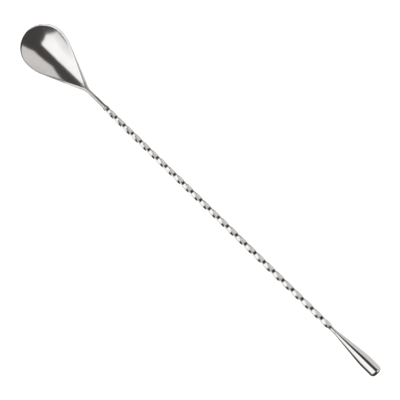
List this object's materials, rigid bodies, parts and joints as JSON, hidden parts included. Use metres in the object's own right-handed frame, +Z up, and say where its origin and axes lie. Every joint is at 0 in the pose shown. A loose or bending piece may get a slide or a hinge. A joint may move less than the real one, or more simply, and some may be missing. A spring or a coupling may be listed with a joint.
{
  "type": "bar spoon",
  "caption": "Long stainless steel bar spoon: teardrop bowl, twisted square shaft and a tapered round counterweight.",
  "frame": {"origin": "on the surface the spoon lies on, under the middle of its length", "axes": "+X along the spoon from the bowl to the counterweight, +Z up out of the open bowl"},
  "size_m": [0.2992, 0.0308, 0.0106],
  "materials": {
    "bowl_steel": "polished stainless steel with fine polishing lines",
    "shaft_steel": "polished stainless steel",
    "weight_steel": "mirror-polished stainless steel",
    "braze": "silver braze, polished flush with the steel"
  },
  "bodies": {
    "root": {"bowl": "bowl_steel", "shaft": "shaft_steel", "weight": "weight_steel", "neck_braze": "braze", "weight_braze": "braze"}
  },
  "joints": []
}
